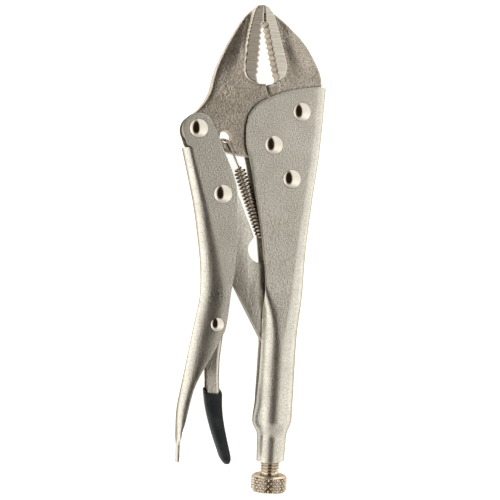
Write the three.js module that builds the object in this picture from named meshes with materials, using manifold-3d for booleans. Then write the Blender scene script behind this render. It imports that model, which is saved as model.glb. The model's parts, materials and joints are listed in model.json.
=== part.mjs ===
// Locking pliers, lying on their side: X across, +Y towards the jaws, +Z through the thickness.
// Everything is drawn from the jaw pivot, and the whole tool is then set on the plane z = 0.
import * as THREE from "three";
import { mergeVertices } from "three/addons/utils/BufferGeometryUtils.js";
import Module from "manifold-3d";

const wasm = await Module();
wasm.setup();

// Driving sizes, mm
const sheet = 1.8; // wall of both folded handles
const channelWidth = 11.6; // outside width of both channels at the rivets
const jawSideGap = 0.2; // each side of a jaw in its channel
const padRise = 0.9; // ground tooth pads above the forged body
const jawReach = 72.4; // jaw pivot to the jaw tips
const mouthFloor = 31; // jaw pivot to the bottom of the toothed mouth
const toothPitch = 2.85;
const toothDepth = 0.95;
const toothCount = 9;
const fineToothPitch = 1.45;
const fineToothDepth = 0.5;
const fineToothCount = 3;
const jawGap = 0.3; // between the closed jaws
const slitWidth = 0.9; // between the jaws below the mouth
const hubRadius = 11.5; // moving jaw round its pivot
const handleReach = 161; // jaw pivot to the end of the tapped neck
const handleTop = 30.4; // jaw pivot to the top of the fixed handle
const channelFlare = 2.8; // growth of the channel's half width down to the tube
const tubeRadius = 9.8;
const neckLength = 11.5;
const seamGap = 0.5; // where the folded tube closes
const linkSlot = 6.4; // width of the tube's slot at the link's foot
const leverReach = 166.6; // lever pivot to the end of its tab
const earRadius = 7.9;
const leverCorner = 4; // outer bend radius of the lever's back
const tabWidth = 8.4;
const linkThickness = 4.6;
const linkHeadRadius = 7.8;
const linkFootRadius = 3.5;
const footClearance = 3.3; // the link's foot rides down by up to 3 mm as the handles open
const linkNotchRadius = 6.9;
const releaseSideGap = 0.4; // each side of the release lever in the lever handle
const releaseSheet = 1.4;
const sleeveWall = 1.3;
const sleeveGap = 0.15;
const screwRadius = 5;
const screwClearance = 0.12;
const screwNeckRadius = 4.7;
const screwShown = 7.1; // tube end to the screw's head
const headRadius = 9.2;
const headLength = 7.6;
const headChamfer = 1.1;
const rivetShank = 3;
const rivetHead = 4.6;
const rivetRise = 1.7;
const smallRivetShank = 2.2;
const smallRivetHead = 3.35;
const smallRivetRise = 1.2;
const pivotClearance = 0.08; // between a shank and its hole
const seat = 0.06; // between faces that touch
const springHoleRadius = 3.2;
const coilRadius = 3.15;
const springWire = 0.55; // radius
const tongueWidth = 4.2;

// Sizes that follow from those
const half = channelWidth / 2;
const jawHalf = half - sheet - jawSideGap;
const padHalf = jawHalf + padRise;
const releaseHalfWidth = half - sheet - releaseSideGap;
const boreRadius = screwRadius + screwClearance;
const neckRadius = boreRadius + sheet;

// Places in the side view, from the jaw pivot
const jawPivot = new THREE.Vector2(0, 0);
const frontRivet = new THREE.Vector2(14.8, 17.2);
const rearRivet = new THREE.Vector2(9.5, -17.1);
const leverPivot = new THREE.Vector2(-38.7, 7.4);
const linkPivot = new THREE.Vector2(-26.4, -25.2);
const leverY = (share) => leverPivot.y - share * leverReach;
const releasePivot = new THREE.Vector2(-29.3, leverY(0.588));
const springHole = new THREE.Vector2(-24.5, 3.9);
const springAnchor = new THREE.Vector2(-1.6, -57.4);
const tubeLean = 0.06; // sideways per unit of height
const tubeEnd = new THREE.Vector2(-0.5, -handleReach);
const axisX = (y) => tubeEnd.x + tubeLean * (y - tubeEnd.y);
const footHeight = -0.668 * handleReach;
const linkFoot = new THREE.Vector2(axisX(footHeight), footHeight);

const steelLight = { color: 0xbdb8ac, metalness: 1, roughness: 0.45 };
const steelForged = { color: 0xa39c90, metalness: 1, roughness: 0.5 };
const steelBright = { color: 0xe2dfd6, metalness: 1, roughness: 0.12 };
const steelSpring = { color: 0x8d877c, metalness: 1, roughness: 0.3 };
const vinylBlack = { color: 0x2b2e30, metalness: 0, roughness: 0.55 };

const pliers = new THREE.Group();

function toSolid(geometry) {
  const plain = geometry.clone();
  for (const name of Object.keys(plain.attributes)) {
    if (name !== "position") plain.deleteAttribute(name);
  }
  const merged = mergeVertices(plain, 1e-4);
  const vertProperties = merged.attributes.position.array;
  const triVerts = new Uint32Array(merged.index.array);
  return new wasm.Manifold(new wasm.Mesh({ numProp: 3, vertProperties, triVerts }));
}

function toGeometry(solid) {
  const mesh = solid.getMesh();
  const geometry = new THREE.BufferGeometry();
  geometry.setAttribute("position", new THREE.BufferAttribute(mesh.vertProperties, 3));
  geometry.setIndex(new THREE.BufferAttribute(mesh.triVerts, 1));
  geometry.computeVertexNormals();
  return geometry;
}

function addPiece(name, solid, look) {
  const mesh = new THREE.Mesh(toGeometry(solid), new THREE.MeshStandardMaterial(look));
  mesh.name = name;
  pliers.add(mesh);
}

const join = (...solids) => solids.reduce((sum, solid) => sum.add(solid));
const cut = (body, ...tools) => tools.reduce((rest, tool) => rest.subtract(tool), body);

// A plate in the side view, from z = low to z = high
function plate(shape, low, high) {
  const depth = high - low;
  const geometry = new THREE.ExtrudeGeometry(shape, { depth, bevelEnabled: false, curveSegments: 5 });
  return toSolid(geometry.translate(0, 0, low));
}

// A round bar along Z, centred on the middle plane
function bar(centre, radius, length, segments = 28) {
  const geometry = new THREE.CylinderGeometry(radius, radius, length, segments);
  return toSolid(geometry.rotateX(Math.PI / 2).translate(centre.x, centre.y, 0));
}

// A solid through a stack of closed rings with equal counts of points
function loft(rings) {
  const count = rings[0].length;
  const positions = rings.flatMap((ring) => ring.flatMap((p) => [p.x, p.y, p.z]));
  const faces = [];
  for (let i = 0; i + 1 < rings.length; i++) {
    for (let j = 0; j < count; j++) {
      const a = i * count + j;
      const b = i * count + ((j + 1) % count);
      faces.push(a, b, a + count, b, b + count, a + count);
    }
  }
  const flat = rings[0].map((p) => new THREE.Vector2(p.x, p.z));
  const cap = THREE.ShapeUtils.triangulateShape(flat, []);
  const last = (rings.length - 1) * count;
  const ringTurn = Math.sign(THREE.ShapeUtils.area(flat));
  for (const [a, b, c] of cap) {
    const sameTurn = Math.sign(THREE.ShapeUtils.area([flat[a], flat[b], flat[c]])) === ringTurn;
    const [p, q] = sameTurn ? [c, a] : [a, c];
    faces.push(p, b, q, last + q, last + b, last + p);
  }
  const geometry = new THREE.BufferGeometry();
  geometry.setAttribute("position", new THREE.Float32BufferAttribute(positions, 3));
  geometry.setIndex(faces);
  const solid = toSolid(geometry);
  if (solid.volume() > 0) return solid;
  geometry.setIndex(faces.reverse());
  return toSolid(geometry);
}

// A smooth value along a length, from a few [place, value] pairs in rising order
function profile(pairs) {
  const line = new THREE.SplineCurve(pairs.map(([s, v]) => new THREE.Vector2(s, v))).getPoints(120);
  return (s) => {
    const next = line.findIndex((p) => p.x >= s);
    if (next < 0) return line[line.length - 1].y;
    if (next === 0) return line[0].y;
    const [a, b] = [line[next - 1], line[next]];
    return THREE.MathUtils.lerp(a.y, b.y, (s - a.x) / (b.x - a.x));
  };
}

function smoothShape(points) {
  const shape = new THREE.Shape();
  shape.moveTo(...points[0]);
  shape.splineThru(points.slice(1).map(([x, y]) => new THREE.Vector2(x, y)));
  return shape;
}

// Sheet of even wall: the outer line of points and the same line one wall further in
function sheetRing(outer, wall) {
  const inner = outer.map((p, i) => {
    const before = outer[Math.max(0, i - 1)];
    const after = outer[Math.min(outer.length - 1, i + 1)];
    const along = new THREE.Vector2(after.x - before.x, after.z - before.z).normalize();
    return new THREE.Vector3(p.x + along.y * wall, p.y, p.z - along.x * wall);
  });
  return [...outer, ...inner.reverse()];
}

function rivet(centre, length, shank, head, rise) {
  const points = [new THREE.Vector2(0, -length / 2 - rise)];
  const steps = 4;
  for (let i = 1; i <= steps; i++) {
    const turn = (i / steps) * (Math.PI / 2);
    points.push(new THREE.Vector2(head * Math.sin(turn), -length / 2 - rise * Math.cos(turn)));
  }
  points.push(new THREE.Vector2(shank, -length / 2));
  const upper = points.map((p) => new THREE.Vector2(p.x, -p.y)).reverse();
  const geometry = new THREE.LatheGeometry([...points, ...upper], 24);
  return toSolid(geometry.rotateX(Math.PI / 2).translate(centre.x, centre.y, 0));
}

const rivetLength = channelWidth + 2 * seat;
const largeRivet = (centre) => rivet(centre, rivetLength, rivetShank, rivetHead, rivetRise);
const rivetHole = (centre) => bar(centre, rivetShank + pivotClearance, 4 * channelWidth);
const smallHole = (centre) => bar(centre, smallRivetShank + pivotClearance, 4 * channelWidth);

// Fixed handle. Places along it are shares of handleReach below the jaw pivot.
const handleBack = profile([
  [-0.22, 29.6], [0, 26.1], [0.17, 21.9], [0.33, 18.3], [0.49, 16.1], [0.62, 14.2],
]);
const handleEdge = profile([
  [-0.22, -20], [-0.03, -17.5], [0.036, -12.9], [0.137, -10.1], [0.25, -7.2], [0.34, -5.6],
  [0.44, -4.9], [0.54, -6], [0.64, -6.9], [0.75, -8],
]);
const halfWidth = (s) => half + channelFlare * THREE.MathUtils.smoothstep(s, 0.15, 0.64);
const roundness = (s) => THREE.MathUtils.smoothstep(s, 0.46, 0.71);
const neckTop = 1 - neckLength / handleReach;
const swage = (s) => THREE.MathUtils.smoothstep(s, neckTop - 0.045, neckTop);
const tubeAt = (s) => THREE.MathUtils.lerp(tubeRadius, neckRadius, swage(s));
const slotHalf = profile([
  [0.4, linkSlot / 2], [0.7, linkSlot / 2], [0.8, linkSlot * 0.3], [0.905, seamGap / 2], [1, seamGap / 2],
]);

// Outer line of the channel at a share s: from the near edge round the back to the far edge
function channelLine(s) {
  const y = -s * handleReach;
  const width = halfWidth(s);
  const radius = tubeAt(s);
  const round = roundness(s);
  const backSteps = 12;
  const wallSteps = 5;
  const points = [];
  const slotTurn = Math.asin(slotHalf(s) / radius);
  const total = 2 * (backSteps / 2 + wallSteps);
  for (let i = 0; i <= total; i++) {
    const side = i - total / 2; // negative on the near half
    const reach = Math.abs(side);
    const sign = side < 0 ? 1 : -1;
    const flat = new THREE.Vector2();
    if (reach <= backSteps / 2) {
      const turn = (reach / (backSteps / 2)) * (Math.PI / 2);
      flat.set(handleBack(s) - width + width * Math.cos(turn), sign * width * Math.sin(turn));
    } else {
      const share = (reach - backSteps / 2) / wallSteps;
      flat.set(THREE.MathUtils.lerp(handleBack(s) - width, handleEdge(s), share), sign * width);
    }
    const turn = (reach / (total / 2)) * (Math.PI - slotTurn);
    const ringed = new THREE.Vector2(
      axisX(y) + radius * Math.cos(turn),
      sign * radius * Math.sin(turn),
    );
    flat.lerp(ringed, round);
    points.push(new THREE.Vector3(flat.x, y, flat.y));
  }
  return points;
}

function handleShell() {
  const shares = [
    -0.215, -0.1, -0.03, 0.036, 0.1, 0.15, 0.2, 0.25, 0.32, 0.39, 0.46, 0.51, 0.56, 0.61, 0.66, 0.71, 0.78,
    0.85, neckTop - 0.045, neckTop - 0.03, neckTop - 0.015, neckTop, 1,
  ];
  return loft(shares.map((s) => sheetRing(channelLine(s), sheet)));
}

// What is cut away round the rounded top of the channel's walls
function aboveHandle() {
  const shape = smoothShape([
    [handleEdge(0.036), -0.036 * handleReach], [-14.3, -1.4], [-14.6, 5], [-13.6, 13.5], [-9, 20.2],
    [-2.5, 24], [5.2, 27], [13, handleTop - 1.5], [24, handleTop],
  ]);
  shape.lineTo(40, handleTop);
  shape.lineTo(40, handleTop + 20);
  shape.lineTo(-40, handleTop + 20);
  shape.lineTo(-40, -0.036 * handleReach);
  return plate(shape, -30, 30);
}

// Tongue lanced from the back, whose tip holds the spring's lower hook
function springTongue() {
  const back = handleBack(-springAnchor.y / handleReach) - sheet / 2;
  const shape = new THREE.Shape();
  shape.moveTo(springAnchor.x + 0.9, springAnchor.y - 0.9);
  shape.lineTo(back, springAnchor.y - 0.9);
  shape.lineTo(back, springAnchor.y + 0.9);
  shape.lineTo(springAnchor.x + 2.4, springAnchor.y + 0.9);
  shape.lineTo(springAnchor.x + 1.9, springAnchor.y + 0.2);
  shape.lineTo(springAnchor.x + 0.9, springAnchor.y + 0.9);
  return plate(shape, -tongueWidth / 2, tongueWidth / 2);
}

// A bore along the tube's own leaning axis
function alongAxis(radius, low, high, segments = 32) {
  const geometry = new THREE.CylinderGeometry(radius, radius, high - low, segments);
  return toSolid(onAxis(geometry, (low + high) / 2));
}

// Moves a geometry made along Y to the height y on the tube's axis, leaning with it
function onAxis(geometry, y) {
  return geometry.rotateZ(-Math.atan(tubeLean)).translate(axisX(y), y, 0);
}

function makeFixedHandle() {
  const boreLow = -handleReach - 2;
  const boreHigh = -handleReach + neckLength + 6;
  const bore = alongAxis(boreRadius, boreLow, boreHigh);
  const shell = cut(handleShell(), aboveHandle(), bore);
  const holes = [jawPivot, frontRivet, rearRivet].map(rivetHole);
  return join(cut(shell, ...holes), springTongue());
}

// Jaws. The line of the teeth runs from the mouth's floor up to the fine teeth at the tips.
const toothTop = mouthFloor + 4.4 + toothCount * toothPitch;
const fineTop = toothTop + 1.6 + fineToothCount * fineToothPitch;
const movingToothX = (y) => THREE.MathUtils.mapLinear(y, mouthFloor + 3.3, toothTop, -8.1, -5.5);
const fixedToothX = (y) => THREE.MathUtils.mapLinear(y, mouthFloor + 3.3, toothTop, 2, -3.7);
const tipX = -4.7;

// Tooth points from the mouth's floor upwards. side is 1 where the jaw lies at lower x.
function teeth(edge, side) {
  const points = [];
  for (let i = 0; i < toothCount; i++) {
    const low = toothTop - (toothCount - i) * toothPitch;
    points.push([edge(low) - side * toothDepth, low]);
    points.push([edge(low + toothPitch / 2), low + toothPitch / 2]);
  }
  points.push([edge(toothTop) - side * toothDepth, toothTop]);
  const face = tipX - side * jawGap / 2;
  points.push([face, toothTop + 1.6]);
  for (let i = 0; i < fineToothCount; i++) {
    const low = toothTop + 1.6 + i * fineToothPitch;
    points.push([face - side * fineToothDepth, low + fineToothPitch / 2]);
    points.push([face, low + fineToothPitch]);
  }
  return points;
}

function lineThrough(shape, points) {
  for (const [x, y] of points) shape.lineTo(x, y);
}

function curveThrough(shape, points) {
  shape.splineThru(points.map(([x, y]) => new THREE.Vector2(x, y)));
}

const movingMouth = [
  [-3.9, mouthFloor], [-7.6, mouthFloor], [-8.3, mouthFloor + 0.8],
];
const movingTip = [[tipX - jawGap / 2, jawReach], [-6, jawReach - 0.3]];

function makeMovingJaw() {
  const body = new THREE.Shape();
  const hubTop = 82 * THREE.MathUtils.DEG2RAD;
  body.moveTo(hubRadius * Math.cos(hubTop), hubRadius * Math.sin(hubTop));
  body.lineTo(-2.4, 0.8 * mouthFloor);
  lineThrough(body, movingMouth);
  lineThrough(body, teeth(movingToothX, 1));
  lineThrough(body, movingTip);
  curveThrough(body, [
    [-13.2, jawReach - 6.2], [-24.9, 48], [-30.2, 34.8], [-32.8, 25.5], [-39, 17], [-44, 12.6],
  ]);
  const earTurn = Math.atan2(12.6 - leverPivot.y, -44 - leverPivot.x);
  body.absarc(leverPivot.x, leverPivot.y, earRadius - 0.6, earTurn, 1.72 * Math.PI, false);
  curveThrough(body, [[-26.5, -2.7], [-20, -4.7], [-13.3, -5.9], [-9.2, -6.9]]);
  const hubLow = Math.atan2(-6.9, -9.2);
  body.absarc(0, 0, hubRadius, hubLow, hubTop, false);
  const pad = new THREE.Shape();
  pad.moveTo(-4.3, mouthFloor - 0.4);
  lineThrough(pad, movingMouth);
  lineThrough(pad, teeth(movingToothX, 1));
  lineThrough(pad, movingTip);
  curveThrough(pad, [
    [-9.9, jawReach - 3.2], [-13.9, 54.3], [-15.4, 40], [-13.6, 33.2], [-8.6, mouthFloor - 0.7],
    [-4.3, mouthFloor - 0.4],
  ]);
  const solid = join(plate(body, -jawHalf, jawHalf), plate(pad, -padHalf, padHalf));
  return cut(solid, rivetHole(jawPivot), rivetHole(leverPivot), bar(springHole, springHoleRadius, 40));
}

const fixedMouth = [
  [-2.9, mouthFloor - 0.4], [-0.6, mouthFloor], [2.6, mouthFloor + 2.4],
];
const fixedTip = [[tipX + jawGap / 2, jawReach], [-3.4, jawReach - 0.6]];
const hubRelief = hubRadius + 0.5;

function makeFixedJaw() {
  const body = new THREE.Shape();
  const reliefTop = 78 * THREE.MathUtils.DEG2RAD;
  const reliefLow = -42 * THREE.MathUtils.DEG2RAD;
  // Where the jaw's side faces meet the inside of the channel's round back
  const inBack = (y) => {
    const share = -y / handleReach;
    const inside = halfWidth(share) - sheet - 0.1;
    return handleBack(share) - halfWidth(share) + Math.sqrt(inside ** 2 - jawHalf ** 2) - 0.5;
  };
  body.moveTo(hubRelief * Math.cos(reliefTop), hubRelief * Math.sin(reliefTop));
  body.lineTo(-2.4 + slitWidth, 0.8 * mouthFloor);
  lineThrough(body, fixedMouth);
  lineThrough(body, teeth(fixedToothX, -1));
  lineThrough(body, fixedTip);
  curveThrough(body, [
    [6.2, jawReach - 8.6], [14.5, 56], [21, 47], [25.2, 38], [26.6, handleTop + 1.2],
  ]);
  lineThrough(body, [handleTop + 0.3, 20, 10, 0, -12].map((y) => [inBack(y), y]));
  curveThrough(body, [[16.6, -21.5], [11.5, -25.5], [4.6, -22.8], [3.4, -16.5], [5.4, -12.1]]);
  body.lineTo(hubRelief * Math.cos(reliefLow), hubRelief * Math.sin(reliefLow));
  body.absarc(0, 0, hubRelief, reliefLow, reliefTop, false);
  const pad = new THREE.Shape();
  pad.moveTo(-2.5, mouthFloor - 0.6);
  lineThrough(pad, fixedMouth);
  lineThrough(pad, teeth(fixedToothX, -1));
  lineThrough(pad, fixedTip);
  curveThrough(pad, [
    [1.1, 66.7], [5.5, 52], [8, 41.5], [5.2, 33.6], [0, mouthFloor - 0.4], [-2.5, mouthFloor - 0.6],
  ]);
  const solid = join(plate(body, -jawHalf, jawHalf), plate(pad, -padHalf, padHalf));
  return cut(solid, rivetHole(frontRivet), rivetHole(rearRivet));
}

// Lever handle. Places along it are shares of leverReach below the lever pivot.
const leverBack = profile([
  [0.05, -46.4], [0.1, -44.6], [0.17, -42.2], [0.24, -40], [0.36, -37.5], [0.44, -36.8], [0.51, -37.4],
  [0.6, -40.6], [0.74, -45.5], [0.84, -48.7], [0.92, -49.3], [1, -49.8],
]);
const leverEdge = profile([
  [0.04, -26.9], [0.13, -21.3], [0.19, -18.9], [0.28, -18.7], [0.4, -19.9], [0.5, -22.3], [0.58, -24.2],
  [0.62, -26.2], [0.7, -34], [0.78, -41], [0.88, -45.4], [0.92, -47.4],
]);
const webTop = 0.057;
const tabStart = 0.92;

// Outer line of the lever at a share s: from the far edge round the back to the near edge
function leverLine(s) {
  const y = leverPivot.y - s * leverReach;
  const back = leverBack(s);
  const corner = leverCorner;
  const edge = Math.max(leverEdge(s), back + corner + 0.2);
  const middle = (edge + back + corner) / 2;
  const points = [new THREE.Vector3(edge, y, half), new THREE.Vector3(middle, y, half)];
  for (const sign of [1, -1]) {
    for (let i = 0; i <= 4; i++) {
      const turn = ((sign > 0 ? i : 4 - i) / 4) * (Math.PI / 2);
      const x = back + corner - corner * Math.sin(turn);
      points.push(new THREE.Vector3(x, y, sign * (half - corner + corner * Math.cos(turn))));
    }
  }
  points.push(new THREE.Vector3(middle, y, -half), new THREE.Vector3(edge, y, -half));
  return points.reverse();
}

function leverShell() {
  const shares = [
    webTop, 0.1, 0.15, 0.2, 0.27, 0.34, 0.4, 0.46, 0.52, 0.58, 0.62, 0.66, 0.7, 0.74, 0.79, 0.84, 0.88,
    tabStart,
  ];
  return loft(shares.map((s) => sheetRing(leverLine(s), sheet)));
}

function leverEars() {
  const y = (s) => leverPivot.y - s * leverReach;
  const ear = new THREE.Shape();
  ear.moveTo(leverEdge(0.16), y(0.16));
  curveThrough(ear, [[leverEdge(0.1), y(0.1)], [leverEdge(0.045), y(0.045)], [-31.4, 10.4]]);
  ear.absarc(leverPivot.x, leverPivot.y, earRadius, 0.13 * Math.PI, 1.18 * Math.PI, false);
  curveThrough(ear, [[-44.4, 1], [-43.6, -1.4], [-42.4, y(0.07)], [-40.6, y(0.12)], [-38, y(0.16)]]);
  return [1, -1].map((side) => {
    const faces = [side * half, side * (half - sheet)].sort((a, b) => a - b);
    return plate(ear, faces[0], faces[1]);
  });
}

function leverTab() {
  const y = (s) => leverPivot.y - s * leverReach;
  const flat = new THREE.Shape();
  flat.moveTo(leverBack(tabStart - 0.03), y(tabStart - 0.03));
  lineThrough(flat, [
    [leverBack(0.96), y(0.96)], [leverBack(1), y(1)], [leverBack(1) + sheet, y(1)],
    [leverBack(0.96) + sheet, y(0.96)], [leverBack(tabStart - 0.03) + sheet, y(tabStart - 0.03)],
  ]);
  return plate(flat, -tabWidth / 2, tabWidth / 2);
}

function makeLeverHandle() {
  const holes = [leverPivot, linkPivot].map(rivetHole);
  const solid = join(leverShell(), ...leverEars(), leverTab());
  return cut(solid, ...holes, smallHole(releasePivot));
}

// Toggle link: round head on the lever's rivet, foot on the screw's tip
function makeToggleLink() {
  const edge = new THREE.Vector2(-9.6, springAnchor.y + 10.8);
  const notch = new THREE.Vector2(springAnchor.x - 4.2, springAnchor.y + 4.4);
  const notchFrom = Math.atan2(edge.y - notch.y, edge.x - notch.x);
  const shape = new THREE.Shape();
  const headTop = 0.11 * Math.PI;
  shape.absarc(linkPivot.x, linkPivot.y, linkHeadRadius, headTop, 1.06 * Math.PI, false);
  curveThrough(shape, [[-31.4, -43], [-27, -57.6]]);
  const footLeft = 1.15 * Math.PI;
  const footRight = 2.02 * Math.PI;
  shape.absarc(linkFoot.x, linkFoot.y, linkFootRadius, footLeft, footRight, false);
  shape.lineTo(linkFoot.x + linkFootRadius - 0.6, springAnchor.y - 16);
  shape.lineTo(notch.x + 3.6, notch.y - linkNotchRadius);
  shape.absarc(notch.x, notch.y, linkNotchRadius, 1.5 * Math.PI, notchFrom, true);
  const plain = plate(shape, -linkThickness / 2, linkThickness / 2);
  const boss = bar(linkPivot, linkHeadRadius - 1.2, 2 * jawHalf);
  return cut(join(plain, boss), rivetHole(linkPivot));
}

// Release lever: two sides joined by a back that faces the fixed handle.
// Places along it are shares of leverReach too.
const releaseLine = profile([
  [0.633, -29.8], [0.717, -30.9], [0.8, -30.6], [0.86, -29.7], [0.92, -27.6], [0.98, -24.9], [1.035, -22.6],
]);
const releaseHalf = profile([[0.633, 4], [0.717, 3.5], [0.8, 2.9], [0.92, 2.5], [0.98, 2.1], [1.035, 1.6]]);
const sleeveTop = 0.789;
const sleeveEnd = 1.017;
const sleeveFloor = 0.985; // where the sleeve's bore ends

function makeReleaseLever() {
  const side = (shares, way) => {
    return shares.map((t) => [releaseLine(t) + way * releaseHalf(t), leverY(t)]);
  };
  const armEnd = sleeveFloor - 0.004;
  const down = [0.633, 0.717, 0.8, 0.86, 0.92, armEnd];
  const up = down.toReversed();
  const outside = new THREE.Shape();
  outside.moveTo(...side(down, -1)[0]);
  curveThrough(outside, side(down, -1).slice(1));
  outside.lineTo(...side(up, 1)[0]);
  curveThrough(outside, side(up, 1).slice(1));
  const nose = new THREE.Vector2(-24.2, leverY(0.498));
  const noseRadius = 1.9;
  curveThrough(outside, [[-24.9, leverY(0.588)], [nose.x + noseRadius - 0.2, nose.y - 1]]);
  outside.absarc(nose.x, nose.y, noseRadius, -0.15 * Math.PI, 0.8 * Math.PI, false);
  curveThrough(outside, [[-30, leverY(0.536)], [-33.2, leverY(0.573)], side(down, -1)[0]]);
  const body = plate(outside, -releaseHalfWidth, releaseHalfWidth);
  // Open towards the lever handle, from the nose down to the end of the arm
  const hollow = new THREE.Shape();
  hollow.moveTo(-60, nose.y + 5);
  hollow.lineTo(-60, leverY(armEnd) - 5);
  lineThrough(hollow, side(up, 1).map(([x, y]) => [x - releaseSheet, y]));
  lineThrough(hollow, [[-26.2, leverY(0.588)], [-22.5, nose.y + 5]]);
  const hollowHalf = releaseHalfWidth - releaseSheet;
  return cut(body, plate(hollow, -hollowHalf, hollowHalf), smallHole(releasePivot));
}

// Section of the sleeve, between an ellipse and a rounded box, drawn in at the closed end
function sleeveRing(share, grow) {
  const count = 20;
  const across = releaseHalf(share) + grow;
  const through = releaseHalfWidth + grow;
  const fromEnd = (sleeveEnd + 0.002 - share) * leverReach;
  const taper = Math.sqrt(Math.min(1, fromEnd / across));
  const squareness = 0.62;
  const bend = (v) => Math.sign(v) * Math.abs(v) ** squareness;
  return Array.from({ length: count }, (_, i) => {
    const turn = (i / count) * 2 * Math.PI;
    return new THREE.Vector3(
      releaseLine(share) + taper * across * bend(Math.cos(turn)),
      leverY(share),
      taper * through * bend(Math.sin(turn)),
    );
  });
}

// The sleeve's bore is a plain rectangle round the arm
function boreRing(share) {
  const across = releaseHalf(share) + sleeveGap;
  const through = releaseHalfWidth + sleeveGap;
  const corners = [[1, 1], [1, -1], [-1, -1], [-1, 1]];
  const middle = releaseLine(share);
  return corners.map(([a, b]) => new THREE.Vector3(middle + a * across, leverY(share), b * through));
}

function makeSleeve() {
  const shares = [sleeveTop, 0.836, 0.884, 0.932, 0.962, 0.986, 1.001, 1.011, sleeveEnd];
  const outer = loft(shares.map((t) => sleeveRing(t, sleeveGap + sleeveWall)));
  const inside = [sleeveTop - 0.006, 0.8, 0.86, 0.92, sleeveFloor];
  return cut(outer, loft(inside.map(boreRing)));
}

// Adjusting screw on the tube's axis
const screwTip = linkFoot.y - linkFootRadius - footClearance;
const headTopY = -handleReach - screwShown;
const spigotRadius = 3;

function makeScrewRod() {
  const low = headTopY + seat;
  const thread = alongAxis(screwRadius, headTopY + 3.2, screwTip);
  const neck = alongAxis(screwNeckRadius, low, headTopY + 3.4);
  const spigot = alongAxis(spigotRadius, headTopY - headLength + 1.5, headTopY + 1);
  return join(thread, neck, spigot);
}

function makeScrewHead() {
  const r = headRadius;
  const c = headChamfer;
  const profilePoints = [
    [0, 0], [r - c - 0.4, 0], [r, c], [r, headLength - c * 0.6], [r - c, headLength], [0, headLength],
  ].map(([x, y]) => new THREE.Vector2(x, y - headLength / 2));
  const geometry = new THREE.LatheGeometry(profilePoints, 36);
  const head = toSolid(onAxis(geometry, headTopY - headLength / 2));
  const socket = alongAxis(spigotRadius + seat, headTopY - headLength + 1.5 - seat, headTopY + 2);
  return cut(head, socket);
}

// Spring: closed coil with a wire from the jaw's hole and a wire to the tongue
function makeSpring() {
  const from = new THREE.Vector3(-16, -14, 0);
  const to = new THREE.Vector3(-4.4, -48.6, 0);
  const along = to.clone().sub(from);
  const coil = new THREE.CylinderGeometry(coilRadius, coilRadius, along.length(), 14);
  const turn = new THREE.Quaternion().setFromUnitVectors(
    new THREE.Vector3(0, 1, 0),
    along.clone().normalize(),
  );
  coil.applyQuaternion(turn);
  const middle = from.clone().add(to).multiplyScalar(0.5);
  coil.translate(middle.x, middle.y, middle.z);
  const over = jawHalf + springWire + 0.3;
  const upper = wire([
    [springHole.x + 0.4, springHole.y - 0.6, 0], [springHole.x + 0.6, springHole.y - 1, over],
    [-22, -1.6, over], [-19, -8, over - 0.6], [-16.4, -13.4, 2.4], [-15.6, -15.4, 1],
  ]);
  const lower = wire([
    [-4.9, -47.4, 1], [-3.6, -50.6, 1.2], [-2, -55, 1], [springAnchor.x, springAnchor.y - 0.3, 0],
  ]);
  return join(toSolid(coil), upper, lower);
}

function wire(points) {
  const path = new THREE.CatmullRomCurve3(points.map((p) => new THREE.Vector3(...p)));
  const section = new THREE.Shape().absarc(0, 0, springWire, 0, 2 * Math.PI, false);
  const options = { steps: 3 * points.length, extrudePath: path, bevelEnabled: false, curveSegments: 4 };
  return toSolid(new THREE.ExtrudeGeometry(section, options));
}

addPiece("fixed_handle", makeFixedHandle(), steelLight);
addPiece("fixed_jaw", makeFixedJaw(), steelForged);
addPiece("moving_jaw", makeMovingJaw(), steelForged);
addPiece("lever_handle", makeLeverHandle(), steelLight);
addPiece("toggle_link", makeToggleLink(), steelLight);
addPiece("release_lever", makeReleaseLever(), steelLight);
addPiece("release_lever_sleeve", makeSleeve(), vinylBlack);
addPiece("adjusting_screw_rod", makeScrewRod(), steelBright);
addPiece("adjusting_screw_head", makeScrewHead(), steelBright);
addPiece("jaw_spring", makeSpring(), steelSpring);
addPiece("fixed_jaw_front_rivet", largeRivet(frontRivet), steelBright);
addPiece("fixed_jaw_rear_rivet", largeRivet(rearRivet), steelBright);
addPiece("jaw_pivot_rivet", largeRivet(jawPivot), steelBright);
addPiece("lever_pivot_rivet", largeRivet(leverPivot), steelBright);
addPiece("link_pivot_rivet", largeRivet(linkPivot), steelBright);
addPiece(
  "release_pivot_rivet",
  rivet(releasePivot, rivetLength, smallRivetShank, smallRivetHead, smallRivetRise),
  steelBright,
);

// The origin is the middle of the tool's outline, on the surface it lies on
const box = new THREE.Box3().setFromObject(pliers, true);
const middle = box.getCenter(new THREE.Vector3());
pliers.position.set(-middle.x, -middle.y, -box.min.z);

export default pliers;
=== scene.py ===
import json
import math

import bmesh
import bpy
import numpy as np
from mathutils import Matrix, Vector


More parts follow.
